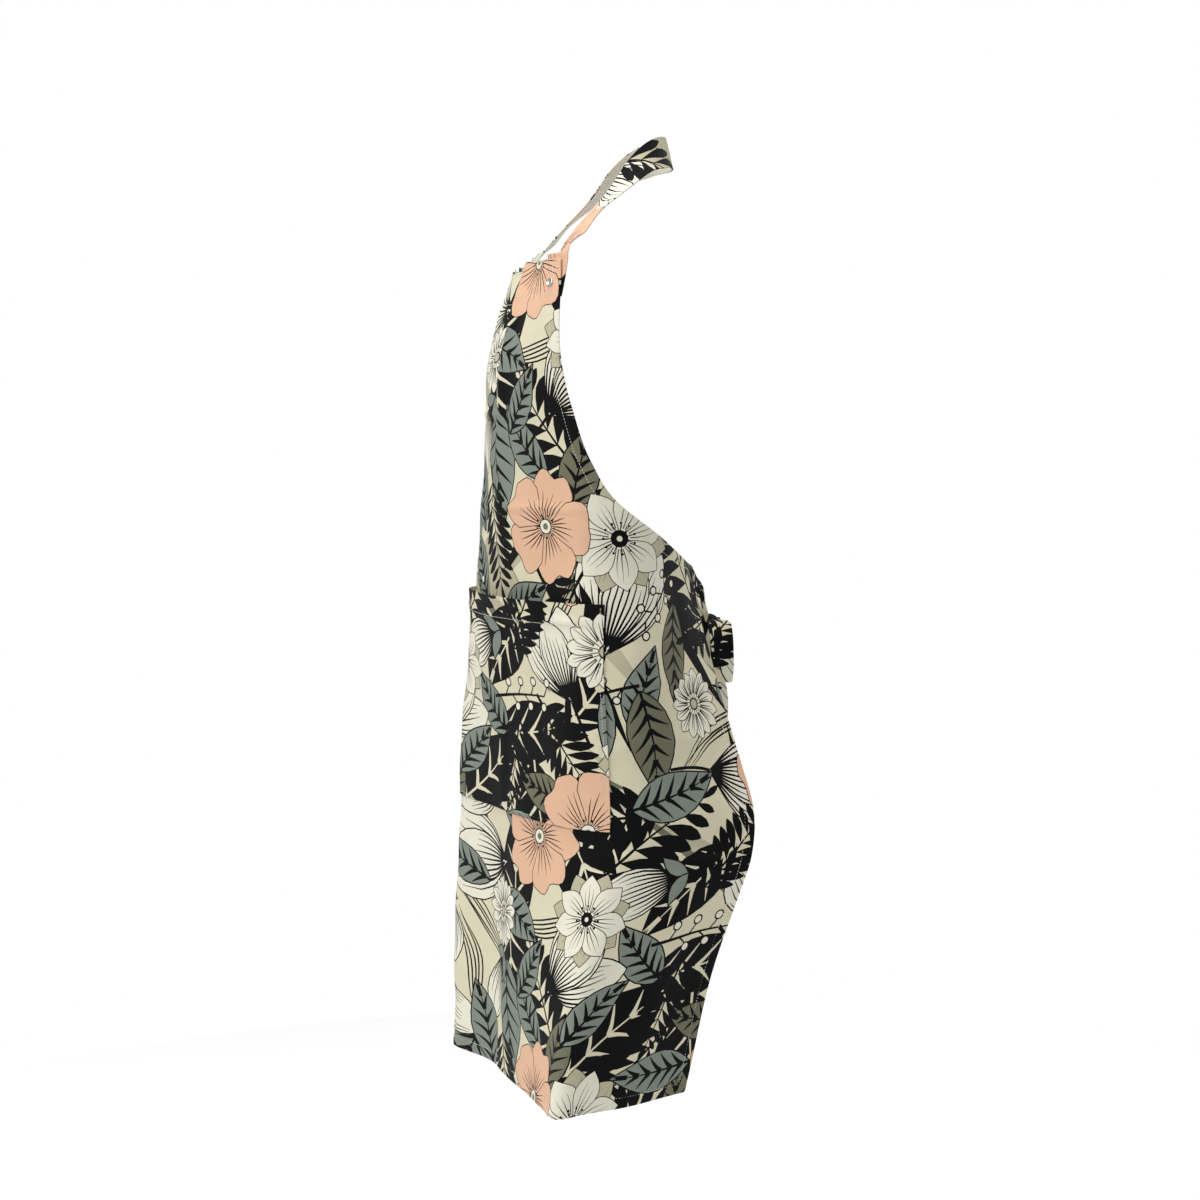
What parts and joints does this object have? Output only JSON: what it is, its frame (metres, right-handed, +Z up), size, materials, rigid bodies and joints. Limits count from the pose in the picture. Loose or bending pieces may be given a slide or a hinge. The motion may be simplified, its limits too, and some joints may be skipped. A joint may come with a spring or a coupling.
{
  "type": "bib apron",
  "caption": "Printed cotton bib apron in its worn form, with a wide front pocket, a neck strap held by a press stud, and waist ties in a bow at the back.",
  "frame": {"origin": "nape: the middle of the neck strap's inner face, where the apron hangs on the wearer's neck", "axes": "+Z up along the apron's length, -Y the way the bib and pocket face, +X towards the apron's left side, which carries the press stud"},
  "size_m": [0.3873, 0.307, 1.0594],
  "materials": {
    "printed_cloth": "cotton canvas, printed with leaves and blossoms in grey-green, olive, peach and near-black on cream",
    "dark_cloth": "the same cotton canvas, cut where the print is mostly near-black with thin pale lines",
    "stud_metal": "nickel-plated brass, slightly warm"
  },
  "bodies": {
    "root": {"apron_panel": "printed_cloth", "pocket": "printed_cloth", "neck_strap": "printed_cloth", "waist_tie_left": "dark_cloth", "waist_tie_right": "dark_cloth", "bow_knot": "dark_cloth", "bow_loop_left": "dark_cloth", "bow_loop_right": "dark_cloth", "tie_tail_left": "dark_cloth", "tie_tail_right": "dark_cloth", "snap_cap": "stud_metal", "snap_socket": "stud_metal"}
  },
  "joints": []
}
